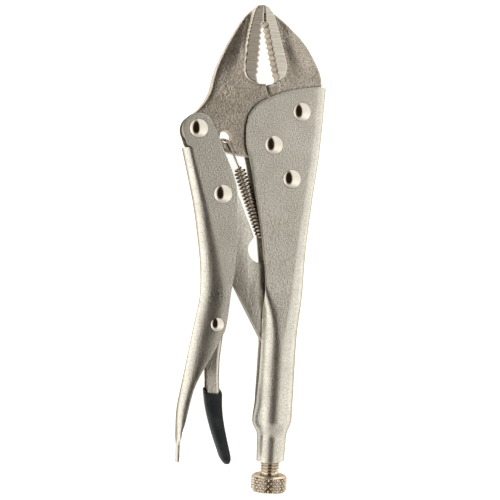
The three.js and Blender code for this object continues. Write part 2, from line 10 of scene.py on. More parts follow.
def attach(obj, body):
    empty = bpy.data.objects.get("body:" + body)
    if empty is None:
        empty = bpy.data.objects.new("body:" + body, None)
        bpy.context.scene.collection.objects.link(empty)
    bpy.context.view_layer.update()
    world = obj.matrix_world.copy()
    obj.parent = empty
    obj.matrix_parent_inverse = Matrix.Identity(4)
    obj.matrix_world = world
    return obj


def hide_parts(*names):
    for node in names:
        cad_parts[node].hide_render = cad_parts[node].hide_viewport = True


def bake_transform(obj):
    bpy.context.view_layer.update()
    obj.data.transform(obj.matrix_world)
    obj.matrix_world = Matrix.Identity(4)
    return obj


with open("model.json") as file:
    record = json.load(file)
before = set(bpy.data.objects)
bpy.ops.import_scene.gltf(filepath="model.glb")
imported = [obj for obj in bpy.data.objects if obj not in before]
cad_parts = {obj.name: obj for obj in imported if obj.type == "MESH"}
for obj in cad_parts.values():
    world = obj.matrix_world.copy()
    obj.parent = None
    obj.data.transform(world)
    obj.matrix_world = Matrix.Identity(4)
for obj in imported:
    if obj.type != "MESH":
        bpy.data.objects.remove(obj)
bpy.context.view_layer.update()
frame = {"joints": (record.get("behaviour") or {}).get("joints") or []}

# Every piece is drawn in millimetres from the jaw pivot: X across, +Y to the jaws, +Z up from the table.
joints = {joint["name"]: joint for joint in frame["joints"]}
jawPivot = Vector(joints["jaw_open"]["pos_m"])
toRow = Matrix.Translation(jawPivot) @ Matrix.Scale(0.001, 4)


# Drawing helpers

def smoothLine(points, steps=10):
    # A smooth open line through the points
    p = [np.array(q, float) for q in points]
    p = [p[0]] + p + [p[-1]]
    line = []
    for a, b, c, d in zip(p, p[1:], p[2:], p[3:]):
        for k in range(steps):
            t = k / steps
            square, cube = 2 * a - 5 * b + 4 * c - d, 3 * b - a - 3 * c + d
            line.append(0.5 * (2 * b + (c - a) * t + square * t * t + cube * t ** 3))
    line.append(p[-1])
    return line


def profile(pairs):
    # A smooth value along a length, from [place, value] pairs in rising order
    line = np.array(smoothLine(pairs, 200))
    return lambda s: float(np.interp(s, line[:, 0], line[:, 1]))


def smoothStep(v, low, high):
    t = min(1, max(0, (v - low) / (high - low)))
    return t * t * (3 - 2 * t)


def lerp(a, b, t):
    return a + (b - a) * t


def arc(centre, radius, start, end, steps=16):
    # Points of an arc, with its angles in degrees
    angles = np.radians(np.linspace(start, end, steps + 1))
    return [(centre[0] + radius * math.cos(a), centre[1] + radius * math.sin(a)) for a in angles]


def isInside(x, y, polygon):
    inside = False
    for (ax, ay), (bx, by) in zip(polygon, polygon[1:] + polygon[:1]):
        if (ay > y) != (by > y) and x < ax + (y - ay) / (by - ay) * (bx - ax):
            inside = not inside
    return inside


def lineDistance(points, line, closed=False):
    # Distance of each point to a line, and how far along the line its nearest place is
    p = np.asarray(points, float)[:, None, :2]
    a = np.asarray(line, float)[:, :2]
    b = np.roll(a, -1, 0) if closed else a[1:]
    a = a if closed else a[:-1]
    d = b - a
    t = np.clip(((p - a) * d).sum(2) / np.maximum((d * d).sum(1), 1e-12), 0, 1)
    gap = np.linalg.norm(p - (a + t[..., None] * d), axis=2)
    nearest = gap.argmin(1)
    rows = np.arange(len(nearest))
    return gap[rows, nearest], nearest + t[rows, nearest]


def gridShell(columns, rows, place):
    # A sheet of quads, each corner put where place(across, along) says
    bm = bmesh.new()
    bmesh.ops.create_grid(bm, x_segments=columns, y_segments=rows, size=0.5)
    for v in bm.verts:
        across, along = (min(1, max(0, round(c + 0.5, 6))) for c in v.co.xy)
        v.co = place(across, along)
    return bm


def closeUp(bm, distance=0.003):
    bmesh.ops.remove_doubles(bm, verts=bm.verts, dist=distance)
    bmesh.ops.recalc_face_normals(bm, faces=bm.faces)


def prism(outline, low, high):
    bm = bmesh.new()
    bm.faces.new([bm.verts.new((x, y, low)) for x, y in outline])
    raised = bmesh.ops.extrude_face_region(bm, geom=bm.faces[:])["geom"]
    bmesh.ops.translate(bm, vec=(0, 0, high - low),
        verts=[g for g in raised if isinstance(g, bmesh.types.BMVert)])
    bmesh.ops.recalc_face_normals(bm, faces=bm.faces)
    return bm


def roundEdges(bm, width, sharperThan=50, segments=3, keep=None):
    edges = [e for e in bm.edges if e.is_manifold and e.calc_face_angle(0) > math.radians(sharperThan)]
    if keep:
        edges = [e for e in edges if keep(e)]
    bmesh.ops.bevel(
        bm, geom=edges, offset=width, offset_type="OFFSET", segments=segments, profile=0.5,
        affect="EDGES", material=-1, clamp_overlap=True,
    )


def toMesh(bm, name):
    mesh = bpy.data.meshes.new(name)
    bm.to_mesh(mesh)
    bm.free()
    return mesh


def joined(bm, other):
    mesh = toMesh(other, "other")
    bm.from_mesh(mesh)
    bpy.data.meshes.remove(mesh)
    return bm


def cutAway(bm, cutter):
    # The first shape with the second one cut out of it
    pair = []
    for part, name in ((bm, "body"), (cutter, "cutter")):
        obj = bpy.data.objects.new(name, toMesh(part, name))
        bpy.context.scene.collection.objects.link(obj)
        pair.append(obj)
    boolean = pair[0].modifiers.new("cut", "BOOLEAN")
    boolean.operation, boolean.solver, boolean.object = "DIFFERENCE", "EXACT", pair[1]
    done = bpy.data.meshes.new_from_object(pair[0].evaluated_get(bpy.context.evaluated_depsgraph_get()))
    result = bmesh.new()
    result.from_mesh(done)
    for obj in pair:
        bpy.data.objects.remove(obj)
    bpy.data.meshes.remove(done)
    return result


def rod(centre, radius, low, high, sides=48):
    bm = bmesh.new()
    middle = Matrix.Translation((centre[0], centre[1], (low + high) / 2))
    bmesh.ops.create_cone(
        bm, cap_ends=True, segments=sides, radius1=radius, radius2=radius, depth=high - low, matrix=middle
    )
    return bm


def addPiece(bm, name, body, material, node=None, angle=32):
    bm.transform(toRow)
    obj = bpy.data.objects.new(name, toMesh(bm, name))
    bpy.context.scene.collection.objects.link(obj)
    obj.data.materials.append(material)
    obj.data.shade_smooth()
    obj.data.set_sharp_from_angle(angle=math.radians(angle))
    if body:
        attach(obj, body)
    if node:
        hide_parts(node)
    return obj


# Finishes

def linear(colour):
    parts = [int(colour[i:i + 2], 16) / 255 for i in (1, 3, 5)]
    return [c / 12.92 if c <= 0.04045 else ((c + 0.055) / 1.055) ** 2.4 for c in parts] + [1.0]


def addNode(tree, kind, settings=None, inputs=None):
    # Adds a node; an input that is a socket becomes a link, and anything else is set on the socket
    node = tree.nodes.new(kind)
    for key, value in (settings or {}).items():
        setattr(node, key, value)
    for key, value in (inputs or {}).items():
        if isinstance(value, bpy.types.NodeSocket):
            tree.links.new(value, node.inputs[key])
        else:
            node.inputs[key].default_value = value
    return node


def addNoise(tree, place, size, detail, roughness):
    # A noise whose pattern is about size millimetres across
    return addNode(tree, "ShaderNodeTexNoise", None, {
        "Vector": place, "Scale": 1000 / size, "Detail": detail, "Roughness": roughness}).outputs["Fac"]


def addRange(tree, value, low, high, start=0.0, end=1.0, kind="SMOOTHSTEP"):
    # Turns low to high into start to end
    return addNode(tree, "ShaderNodeMapRange", {"interpolation_type": kind}, {
        "Value": value, "From Min": low, "From Max": high, "To Min": start, "To Max": end}).outputs[0]


def addTone(tree, share, first, second):
    # A colour between two, each a socket or written as sRGB
    first, second = (linear(c) if isinstance(c, str) else c for c in (first, second))
    return addNode(tree, "ShaderNodeMix", {"data_type": "RGBA"}, {0: share, 6: first, 7: second}).outputs[2]


def addMath(tree, operation, *values):
    return addNode(tree, "ShaderNodeMath", {"operation": operation}, dict(enumerate(values))).outputs[0]


def addOpen(tree, reach):
    # How open a place is, looking reach millimetres around it
    return addNode(tree, "ShaderNodeAmbientOcclusion", {"samples": 6}, {
        "Distance": reach / 1000}).outputs["AO"]


def addBump(tree, height, depth):
    return addNode(tree, "ShaderNodeBump", None, {
        "Strength": 1.0, "Distance": depth / 1000, "Height": height}).outputs["Normal"]


def startMaterial(name):
    material = bpy.data.materials.new(name)
    material.use_nodes = True
    tree = material.node_tree
    shader = tree.nodes["Principled BSDF"]
    place = addNode(tree, "ShaderNodeTexCoord").outputs["Object"]
    return material, tree, shader, place


def joinUp(tree, shader, colour, rough, normal):
    tree.links.new(colour, shader.inputs["Base Color"])
    tree.links.new(rough, shader.inputs["Roughness"])
    tree.links.new(normal, shader.inputs["Normal"])


def platedSteel(name, look):
    # Dull nickel over blanked or forged steel: warm grey, with a fine grain, cloudy patches and small pits
    material, tree, shader, place = startMaterial(name)
    grain = addNoise(tree, place, look["grain"], 2.0, 0.55)
    ripple = addNoise(tree, place, look["ripple"], 3.0, 0.6)
    cloud = addNoise(tree, place, look["cloud"], 4.0, 0.6)
    tone = addTone(tree, addRange(tree, cloud, 0.36, 0.66), look["dark"], look["light"])
    speckled = addTone(tree, addRange(tree, grain, 0.30, 0.62, look["speck"], 0.0), tone, look["pit"])
    # Painted shade, with some grime, darkens the steps between pieces wherever ambient occlusion finds a
    # place closed in
    paintedShadeMask = addRange(tree, addOpen(tree, look["paintedShadeReach"]), 0.45, 0.92, look["paintedShadeAndGrime"], 0.0)
    colour = addTone(tree, paintedShadeMask, speckled, "#2A231C")
    rough = addRange(tree, cloud, 0.3, 0.7, look["rough"] + 0.05, look["rough"] - 0.04, "LINEAR")
    height = addMath(tree, "MULTIPLY_ADD", ripple, look["rippleHeight"] / look["grainHeight"], grain)
    normal = addBump(tree, height, look["grainHeight"])
    if "groundAbove" in look:
        # The tooth pads are ground: fine straight lines across the jaw, above a height from the middle plane
        middle = addNode(tree, "ShaderNodeMapping", {"vector_type": "POINT"}, {
            "Vector": place, "Location": [-c for c in jawPivot]}).outputs[0]
        level = addNode(tree, "ShaderNodeSeparateXYZ", None, {0: middle}).outputs["Z"]
        low, high = look["groundAbove"] / 1000, (look["groundAbove"] + look["groundFade"]) / 1000
        ground = addRange(tree, addMath(tree, "ABSOLUTE", level), low, high)
        stretched = addNode(tree, "ShaderNodeMapping", {"vector_type": "POINT"}, {
            "Vector": middle, "Scale": (0.035, 1, 0.4)}).outputs[0]
        lines = addNoise(tree, stretched, look["groundLine"], 3.0, 0.7)
        lined = addRange(tree, lines, 0.32, 0.68, kind="LINEAR")
        bright = addTone(tree, lined, look["groundDark"], look["groundLight"])
        colour = addTone(tree, ground, colour, bright)
        rough = addNode(tree, "ShaderNodeMix", {"data_type": "FLOAT"}, {
            0: ground, 2: rough, 3: look["groundRough"]}).outputs[0]
        normal = addNode(tree, "ShaderNodeMix", {"data_type": "VECTOR"}, {
            0: ground, 4: normal, 5: addBump(tree, lines, look["groundHeight"])}).outputs[1]
    joinUp(tree, shader, colour, rough, normal)
    shader.inputs["Metallic"].default_value = 1.0
    shader.inputs["Specular Tint"].default_value = linear(look["grazing"])
    return material


def polishedNickel(name, look):
    # Bright nickel over turned, headed or drawn steel: mirror-like, with a faint fine unevenness
    material, tree, shader, place = startMaterial(name)
    cloud = addNoise(tree, place, look["cloud"], 3.0, 0.6)
    fine = addNoise(tree, place, look["fine"], 2.0, 0.6)
    colour = addTone(tree, cloud, look["dark"], look["light"])
    rough = addRange(tree, cloud, 0.3, 0.7, look["rough"] * 0.75, look["rough"] * 1.35, "LINEAR")
    if "paintedShadeReach" in look:
        # Painted shade, with some grease and dust, darkens the threads, the knurl and the gaps between the
        # coils where ambient occlusion finds them closed in
        clear = addOpen(tree, look["paintedShadeReach"])
        paintedShadeMask = addRange(tree, clear, look["paintedShadeLow"], look["paintedShadeHigh"], look["paintedShadeAndGrime"], 0.0)
        colour = addTone(tree, paintedShadeMask, colour, "#3A2A1C")
    joinUp(tree, shader, colour, rough, addBump(tree, fine, look["fineHeight"]))
    shader.inputs["Metallic"].default_value = 1.0
    shader.inputs["Specular Tint"].default_value = linear(look["grazing"])
    return material


def dippedVinyl(name, look):
    # Soft PVC dipped over the lever: near black, a dull skin with a faint leathery ripple and dusty rub marks
    material, tree, shader, place = startMaterial(name)
    skin = addNoise(tree, place, look["skin"], 3.0, 0.6)
    rub = addNoise(tree, place, look["rub"], 5.0, 0.65)
    colour = addTone(tree, addRange(tree, rub, 0.40, 0.70), look["dark"], look["light"])
    rough = addRange(tree, rub, 0.3, 0.7, 0.46, 0.62, "LINEAR")
    joinUp(tree, shader, colour, rough, addBump(tree, skin, look["skinHeight"]))
    shader.inputs["Specular IOR Level"].default_value = 0.25
    return material


# Dull nickel plate on blanked and folded steel sheet
# Its darkening in the steps between pieces is painted shade, with some grime
platedSheet = platedSteel("nickel_plated_blanked_sheet", {
    "grain": 0.78, "grainHeight": 0.135, "ripple": 2.4, "rippleHeight": 0.03, "cloud": 14,
    "light": "#DCDAD0", "dark": "#D4D1C7", "pit": "#6E5E4E", "speck": 0.34, "rough": 0.31, "paintedShadeAndGrime": 0.85,
    "paintedShadeReach": 1.3, "grazing": "#8C8172"})
# The same plate on drop forged jaws: coarser and browner, with more painted shade in the hollows, and with
# ground pads
platedForging = platedSteel("nickel_plated_drop_forging", {
    "grain": 0.82, "grainHeight": 0.18, "ripple": 2.8, "rippleHeight": 0.06, "cloud": 10,
    "light": "#D0C8BC", "dark": "#BFB6A9", "pit": "#56473A", "speck": 0.45, "rough": 0.29, "paintedShadeAndGrime": 0.9,
    "paintedShadeReach": 1.8, "grazing": "#E8E2D8",
    "groundAbove": 4.3, "groundFade": 0.12, "groundLine": 0.4, "groundHeight": 0.01, "groundRough": 0.27,
    "groundLight": "#E0DCD1", "groundDark": "#BDB6AA"})
# Bright nickel on headed rivets, on the turned and knurled screw, and on drawn spring wire
rivetNickel = polishedNickel("polished_nickel_rivet", {
    "cloud": 6, "fine": 0.7, "fineHeight": 0.002, "light": "#EDE9DE", "dark": "#D8D2C5", "rough": 0.12,
    "grazing": "#8C8172"})
# On the screw and the spring wire, the darkening in threads, knurl and coils is painted shade, with some
# grease and dust
turnedNickel = polishedNickel("turned_nickel_screw", {
    "cloud": 5, "fine": 0.5, "fineHeight": 0.006, "light": "#E3D9C9", "dark": "#C4B7A5", "rough": 0.2,
    "grazing": "#A89C8C", "paintedShadeReach": 1.0, "paintedShadeLow": 0.3, "paintedShadeHigh": 0.7, "paintedShadeAndGrime": 0.95})
springNickel = polishedNickel("drawn_nickel_spring_wire", {
    "cloud": 4, "fine": 0.4, "fineHeight": 0.004, "light": "#D9D1C3", "dark": "#B5AA9A", "rough": 0.18,
    "grazing": "#8C8172", "paintedShadeReach": 0.9, "paintedShadeLow": 0.5, "paintedShadeHigh": 0.9, "paintedShadeAndGrime": 0.95})
# Black vinyl skin, made by dipping
blackVinyl = dippedVinyl("dipped_black_vinyl", {
    "skin": 0.8, "skinHeight": 0.03, "rub": 7, "dark": "#15181A", "light": "#26292B"})
print("finishes ready")


# Fixed handle: one sheet folded into a channel that closes to a tube

handle = {
    "sheet": 1.8, "half": 5.8, "flare": 2.8, "reach": 161.0, "top": 30.4, "tubeRadius": 9.8, "tubeLean": 0.06,
    "neckRadius": 7.45, "neckEnd": 7.12, "swageStart": 0.868, "swageEnd": 0.925, "lip": 0.75,
    "linkSlot": 6.4, "seamGap": 0.5, "edge": 0.3, "columns": 96,
}
handleBack = profile([
    [-0.22, 29.6], [0, 26.1], [0.17, 21.9], [0.33, 18.3], [0.49, 16.1], [0.62, 14.2]])
handleEdge = profile([
    [-0.22, -20], [-0.03, -17.5], [0.036, -12.9], [0.137, -10.1], [0.25, -7.2], [0.34, -5.6],
    [0.44, -4.9], [0.54, -6], [0.64, -6.9], [0.75, -8]])
slotHalf = profile([
    [0.4, handle["linkSlot"] / 2], [0.7, handle["linkSlot"] / 2], [0.8, handle["linkSlot"] * 0.3],
    [0.895, handle["seamGap"] / 2], [1, handle["seamGap"] / 2]])


def axisX(y):
    return -0.5 + handle["tubeLean"] * (y + handle["reach"])


def channelPoint(s, u):
    # s runs from the jaw pivot to the neck's end, and u from the near edge round the back to the far edge
    y = -s * handle["reach"]
    side, sign = abs(u), 1 if u < 0 else -1
    width = handle["half"] + handle["flare"] * smoothStep(s, 0.15, 0.64)
    swage = smoothStep(s, handle["swageStart"], handle["swageEnd"])
    neck = lerp(handle["neckRadius"], handle["neckEnd"], smoothStep(s, 0.93, 1))
    radius = lerp(handle["tubeRadius"], neck, swage)
    lip = smoothStep(s, 0.81, 0.86) * (1 - smoothStep(s, 0.88, 0.91))
    radius += handle["lip"] * lip * smoothStep(side, 0.8, 1)
    bend = 6 / 11
    if side < bend:
        turn = side / bend * math.pi / 2
        flat = (handleBack(s) - width + width * math.cos(turn), sign * width * math.sin(turn))
    else:
        flat = (lerp(handleBack(s) - width, handleEdge(s), (side - bend) / (1 - bend)), sign * width)
    turn = side * (math.pi - math.asin(slotHalf(s) / radius))
    ringed = (axisX(y) + radius * math.cos(turn), sign * radius * math.sin(turn))
    roundness = smoothStep(s, 0.46, 0.65)
    x, z = (lerp(a, b, roundness) for a, b in zip(flat, ringed))
    if side > bend and 0.34 < s < 0.66:
        # The flat narrows between two shoulders before the tube is round
        top = lerp(width, radius, roundness)
        ball = radius * lerp(1.6, 1, smoothStep(s, 0.36, 0.56))
        bowed = math.sqrt(max(slotHalf(s) ** 2, ball ** 2 - (x - axisX(y)) ** 2))
        soft = 2.4 * (1 - roundness) + 0.001
        share = min(1, max(0, 0.5 + 0.5 * (bowed - top) / soft))
        bowed = lerp(bowed, top, share) - soft * share * (1 - share) * smoothStep(s, 0.34, 0.42)
        z = bowed * sign
    return x, y, z


def makeFixedHandle():
    topLine = [tuple(p) for p in smoothLine([
        (handleEdge(0.036), -5.8), (-14.3, -1.4), (-14.6, 5), (-13.6, 13.5), (-9, 20.2),
        (-2.5, 24), (5.2, 27), (13, handle["top"] - 1.5), (24, handle["top"])])]
    above = topLine + [(40, handle["top"]), (40, 60), (-40, 60), (-40, -5.8)]
    tops = {}

    def topOf(u):
        # Where this line down the sheet leaves the rounded top of the blank
        key = round(abs(u), 5)
        if key not in tops:
            inside = lambda s: not isInside(*channelPoint(s, key)[:2], above)
            high = next(s for s in np.arange(-0.214, 0.2, 0.004) if inside(s))
            low = high - 0.004
            for _ in range(14):
                middle = (low + high) / 2
                low, high = (low, middle) if inside(middle) else (middle, high)
            tops[key] = high
        return tops[key]

    stations = list(np.linspace(0, 0.15, 22)) + list(np.linspace(0.17, 0.82, 44))
    stations += list(np.linspace(0.83, 0.94, 30)) + list(np.linspace(0.947, 1, 12))
    common = 0.15

    def place(across, along):
        u = 2 * across - 1
        k = along * (len(stations) - 1)
        s = stations[int(round(k))]
        if s < common:
            s = lerp(topOf(u), common, s / common)
        return channelPoint(s, u)

    bm = gridShell(handle["columns"], len(stations) - 1, place)
    bmesh.ops.recalc_face_normals(bm, faces=bm.faces)
    outward = sum((f.normal.x * (f.calc_center_median().x - axisX(f.calc_center_median().y))
                   + f.normal.z * f.calc_center_median().z) * f.calc_area() for f in bm.faces)
    if outward < 0:
        bmesh.ops.reverse_faces(bm, faces=bm.faces)
    bmesh.ops.solidify(bm, geom=bm.faces[:], thickness=handle["sheet"])
    bmesh.ops.recalc_face_normals(bm, faces=bm.faces)
    roundEdges(bm, handle["edge"], 55)
    return bm


addPiece(makeFixedHandle(), "handle_channel", "fixed_handle", platedSheet, "fixed_handle")

tongue = {"tip": (-1.6, -57.4), "half": 2.1, "edge": 0.25}


def makeTongue():
    x, y = tongue["tip"]
    back = handleBack(-y / handle["reach"]) - handle["sheet"] / 2
    outline = [(x + 0.9, y - 0.9), (back, y - 0.9), (back, y + 0.9), (x + 2.4, y + 0.9), (x + 1.9, y + 0.2),
               (x + 0.9, y + 0.9)]
    bm = prism(outline, -tongue["half"], tongue["half"])
    roundEdges(bm, tongue["edge"], 30, 2)
    return bm


addPiece(makeTongue(), "spring_tongue", "fixed_handle", platedSheet)
print("fixed handle ready")


# Jaws: forged plates with raised, ground and toothed pads

jaw = {
    "half": 3.8, "reach": 72.4, "mouthFloor": 31.0, "toothPitch": 2.85, "toothDepth": 0.95, "toothCount": 9,
    "finePitch": 1.45, "fineDepth": 0.5, "fineCount": 3, "gap": 0.16, "slit": 1.7, "hub": 11.5, "tipX": -4.7,
    "padTop": 4.9, "cell": 0.42, "chamfer": 0.09,
}
toothTop = jaw["mouthFloor"] + 4.4 + jaw["toothCount"] * jaw["toothPitch"]


def movingToothX(y):
    return lerp(-8.1, -5.5, (y - jaw["mouthFloor"] - 3.3) / (toothTop - jaw["mouthFloor"] - 3.3))


def fixedToothX(y):
    return lerp(2, -3.7, (y - jaw["mouthFloor"] - 3.3) / (toothTop - jaw["mouthFloor"] - 3.3))


def teeth(edge, side):
    # From the mouth's floor up to the tips. side is 1 where the jaw lies at lower x.
    points = []
    for i in range(jaw["toothCount"]):
        low = toothTop - (jaw["toothCount"] - i) * jaw["toothPitch"]
        middle = low + jaw["toothPitch"] / 2
        points += [(edge(low) - side * jaw["toothDepth"], low), (edge(middle), middle)]
    points.append((edge(toothTop) - side * jaw["toothDepth"], toothTop))
    face = jaw["tipX"] - side * jaw["gap"] / 2
    points.append((face, toothTop + 1.6))
    for i in range(jaw["fineCount"]):
        low = toothTop + 1.6 + i * jaw["finePitch"]
        points += [(face - side * jaw["fineDepth"], low + jaw["finePitch"] / 2),
            (face, low + jaw["finePitch"])]
    return points


def reliefPlate(outline, pad, toothX, relief, free):
    # outline holds (x, y, edge radius) points. The plate is cut into cells, then its face is shaped.
    bm = bmesh.new()
    bm.faces.new([bm.verts.new((x, y, 0)) for x, y, _ in outline])
    bmesh.ops.inset_region(bm, faces=bm.faces[:], thickness=jaw["chamfer"], use_even_offset=True,
        use_boundary=True)
    flat = np.array(outline)
    for axis in (0, 1):
        normal = (1, 0, 0) if axis == 0 else (0, 1, 0)
        for value in np.arange(flat[:, axis].min() + 0.3, flat[:, axis].max(), jaw["cell"]):
            where = (value, 0, 0) if axis == 0 else (0, value, 0)
            geom = bm.verts[:] + bm.edges[:] + bm.faces[:]
            bmesh.ops.bisect_plane(bm, geom=geom, dist=0.02, plane_co=where, plane_no=normal)
    bm.verts.ensure_lookup_table()
    points = np.array([(v.co.x, v.co.y) for v in bm.verts])
    gap, where = lineDistance(points, flat[:, :2], closed=True)
    first = np.floor(where).astype(int) % len(flat)
    radius = lerp(flat[first, 2], flat[(first + 1) % len(flat), 2], where - np.floor(where))
    padGap, padWhere = lineDistance(points, pad)
    padLine = np.array(pad)
    for i, v in enumerate(bm.verts):
        # Cell corners close to the pad's outline move onto it, so that the step is a clean line
        if padGap[i] < jaw["cell"] * 0.5 and gap[i] > jaw["chamfer"] * 1.5:
            k = min(int(padWhere[i]), len(pad) - 2)
            points[i] = lerp(padLine[k], padLine[k + 1], padWhere[i] - k)
            v.co.x, v.co.y = points[i]
            padGap[i] = 0
    edgeLine = [(x, y) for x, y, r in outline if r > 1]
    edgeGap, _ = lineDistance(points, edgeLine)
    for v, d, r, dPad, dEdge in zip(bm.verts, gap, radius, padGap, edgeGap):
        x, y = v.co.x, v.co.y
        onPad = isInside(x, y, pad)
        shown = free(y)
        height = jaw["half"] - relief["shoulder"] * shown * (1 - smoothStep(dEdge, 0,
            relief["shoulderWidth"]))
        height -= relief["rim"] * smoothStep(y, 10, 24) * (1 - smoothStep(dEdge, 0, relief["rimWidth"]))
        deep = 0 if onPad else dPad
        height -= relief["groove"] * shown * math.exp(-((deep / relief["grooveWidth"]) ** 2))
        if onPad:
            top = jaw["padTop"] - relief["lean"] * abs(x - toothX(y))
            height = lerp(height, top, smoothStep(dPad, 0, relief["wall"]))
        if d < r:
            height -= r - math.sqrt(max(0, r * r - (r - d) ** 2))
        v.co.z = height
    rim = [e for e in bm.edges if e.is_boundary]
    down = bmesh.ops.extrude_edge_only(bm, edges=rim)["geom"]
    for v in down:
        if isinstance(v, bmesh.types.BMVert):
            v.co.z = 0
    bmesh.ops.mirror(bm, geom=bm.verts[:] + bm.edges[:] + bm.faces[:], axis="Z", merge_dist=0.001)
    closeUp(bm, 0.001)
    return bm


def withRadius(points, radius):
    return [(float(x), float(y), radius) for x, y in points]


movingMouth = [(-3.9, jaw["mouthFloor"]), (-7.6, jaw["mouthFloor"]), (-8.3, jaw["mouthFloor"] + 0.8)]
movingTip = [(jaw["tipX"] - jaw["gap"] / 2, jaw["reach"] - 1.3), (-5.4, jaw["reach"] - 1.1)]
fixedMouth = [(-2.9, jaw["mouthFloor"] - 0.4), (-0.6, jaw["mouthFloor"]), (2.6, jaw["mouthFloor"] + 2.4)]
fixedTip = [(jaw["tipX"] + jaw["gap"] / 2, jaw["reach"] - 1.3), (-4.0, jaw["reach"] - 1.2)]


def makeMovingJaw():
    hubTop = math.radians(82)
    crisp = 0.09
    outline = [(jaw["hub"] * math.cos(hubTop), jaw["hub"] * math.sin(hubTop), 0.3), (-2.4, 24.8, 0.3)]
    outline += withRadius(movingMouth + teeth(movingToothX, 1), crisp)
    outline += [(*movingTip[0], crisp), (*movingTip[1], 0.6)]
    outer = smoothLine([
        movingTip[1], (-7.4, 71.2), (-9.4, 69.9), (-13.8, 66), (-18.9, 58.7), (-24.9, 48), (-28.6, 40.1),
        (-30.9, 33.2), (-33, 25.6), (-37.6, 18.6), (-44, 12.6)], 7)[1:]
    outline += withRadius(outer, 1.05)
    outline += withRadius(arc((-38.7, 7.4), 7.3, 142, 310, 22), 0.4)
    lower = smoothLine([(-34, 1.8), (-30, -0.6), (-26.5, -2.7), (-20, -4.7), (-13.3, -5.9), (-9.2, -6.9)],
        5)[1:]
    outline += withRadius(lower, 0.9)
    outline += withRadius(arc((0, 0), jaw["hub"], 216.9, 442, 40)[1:-1], 0.3)
    pad = [tuple(p) for p in smoothLine([
        (-6.6, 73.5), (-9.9, 69.3), (-11.8, 63.5), (-13.9, 54.3), (-14.9, 45.9), (-15.5, 38.8), (-14.6, 34.6),
        (-11.8, 31.8), (-7.9, 30.3), (-4.2, 30.2), (-0.5, 29.5)], 8)] + [(-0.5, 73.5)]
    relief = {"shoulder": 1.5, "shoulderWidth": 9.0, "rim": 0.3, "rimWidth": 3.2, "groove": 0.3,
        "grooveWidth": 2.0,
              "wall": 0.9, "lean": 0.03}
    bm = reliefPlate(outline, pad, movingToothX, relief, lambda y: smoothStep(y, 27, 56))
    return cutAway(bm, rod((-24.5, 3.9), 3.2, -8, 8))


def makeFixedJaw():
    hub = jaw["hub"] + 0.5
    crisp = 0.09
    outline = [(hub * math.cos(math.radians(78)), hub * math.sin(math.radians(78)), 0.3)]
    outline += [(-2.4 + jaw["slit"], 24.8, 0.3)]
    outline += withRadius(fixedMouth + teeth(fixedToothX, -1), crisp)
    outline += [(*fixedTip[0], crisp), (*fixedTip[1], 0.6)]
    outer = smoothLine([
        fixedTip[1], (-2.9, 70.9), (0.2, 68.6), (6.3, 63.7), (11.7, 58.7), (17.1, 53.1), (22, 45.4),
        (25.4, 37.7),
        (26.4, 31.6)], 7)[1:]
    outline += withRadius(outer, 1.05)
    outline += [(25.6, 30.4, 0.5), (24.6, 20, 0.4), (23.5, 10, 0.4), (22.3, 0, 0.4), (20.7, -12, 0.4)]
    outline += withRadius(smoothLine([
        (20.2, -14.5), (16.6, -21.5), (11.5, -25.5), (4.6, -22.8), (3.4, -16.5), (5.4, -12.1)], 5), 0.4)
    outline += withRadius(arc((0, 0), hub, -42, 78, 24)[:-1], 0.3)
    pad = [tuple(p) for p in smoothLine([
        (-5.2, 74.5), (-1.6, 70.9), (1.1, 66.7), (3.5, 59.7), (5.5, 52), (7.2, 45.6), (8.1, 41.1),
        (7.6, 37.2),
        (5.2, 33.8), (-0.5, 30.4), (-2.5, 29.9), (-7, 29.5)], 8)] + [(-7, 74.5)]
    relief = {"shoulder": 0.8, "shoulderWidth": 9, "rim": 0.0, "rimWidth": 3.0, "groove": 0.75,
        "grooveWidth": 3.6,
              "wall": 0.9, "lean": 0.05}
    return reliefPlate(outline, pad, fixedToothX, relief, lambda y: smoothStep(y, 33, 54))


addPiece(makeMovingJaw(), "jaw_moving", "moving_jaw", platedForging, "moving_jaw")
addPiece(makeFixedJaw(), "jaw_fixed", "fixed_handle", platedForging, "fixed_jaw")
print("jaws ready")


# Lever handle: a channel with two ears and a flat finger tab

lever = {
    "sheet": 1.8, "half": 5.8, "reach": 166.6, "pivot": (-38.7, 7.4), "ear": 7.9, "corner": 4.6,
    "webTop": 0.057,
    "tabHalf": 1.9, "tabStart": 0.935, "edge": 0.3, "columns": 96,
}
leverBack = profile([
    [0.05, -46.4], [0.1, -44.6], [0.17, -42.2], [0.24, -40], [0.36, -37.5], [0.44, -36.8], [0.51, -37.4],
    [0.6, -40.6], [0.74, -45.5], [0.84, -48.7], [0.92, -49.3], [1, -49.8]])
leverEdge = profile([
    [0.04, -27.3], [0.057, -26.3], [0.13, -21.3], [0.19, -18.9], [0.28, -18.7], [0.4, -19.9], [0.5, -22.3],
    [0.58, -24.2],
    [0.62, -26.2], [0.7, -34], [0.78, -41], [0.88, -45.4], [0.92, -47.4], [1, -47.9]])


leverShoulder = profile([
    [0.05, 4.2], [0.14, 5], [0.28, 7], [0.4, 9.6], [0.5, 12.6], [0.6, 12.6], [0.72, 10.5], [0.9, 5], [1, 3]])


def leverY(s):
    return lever["pivot"][1] - s * lever["reach"]


def leverPoint(s, u):
    side, sign = abs(u), 1 if u < 0 else -1
    tab = smoothStep(s, lever["tabStart"] - 0.012, lever["tabStart"] + 0.016)
    half = lerp(lever["half"], lever["tabHalf"], tab)
    back = leverBack(s)
    corner = lever["corner"] + 0.9 * smoothStep(s, 0.3, 0.5)
    corner = lerp(lerp(corner, 3.0, smoothStep(s, 0.72, 0.92)), 1.7, tab)
    edge = max(leverEdge(s), back + 1.95)
    shoulder = min(leverShoulder(s), edge - back - 0.1)
    if side < 0.16:
        x, z = back, side / 0.16 * (half - corner)
    elif side < 0.5:
        turn = (side - 0.16) / 0.34 * math.pi / 2
        x, z = back + shoulder - shoulder * math.cos(turn), half - corner + corner * math.sin(turn)
    else:
        x, z = lerp(back + shoulder, edge, (side - 0.5) / 0.5), half
    return x, leverY(s), sign * z


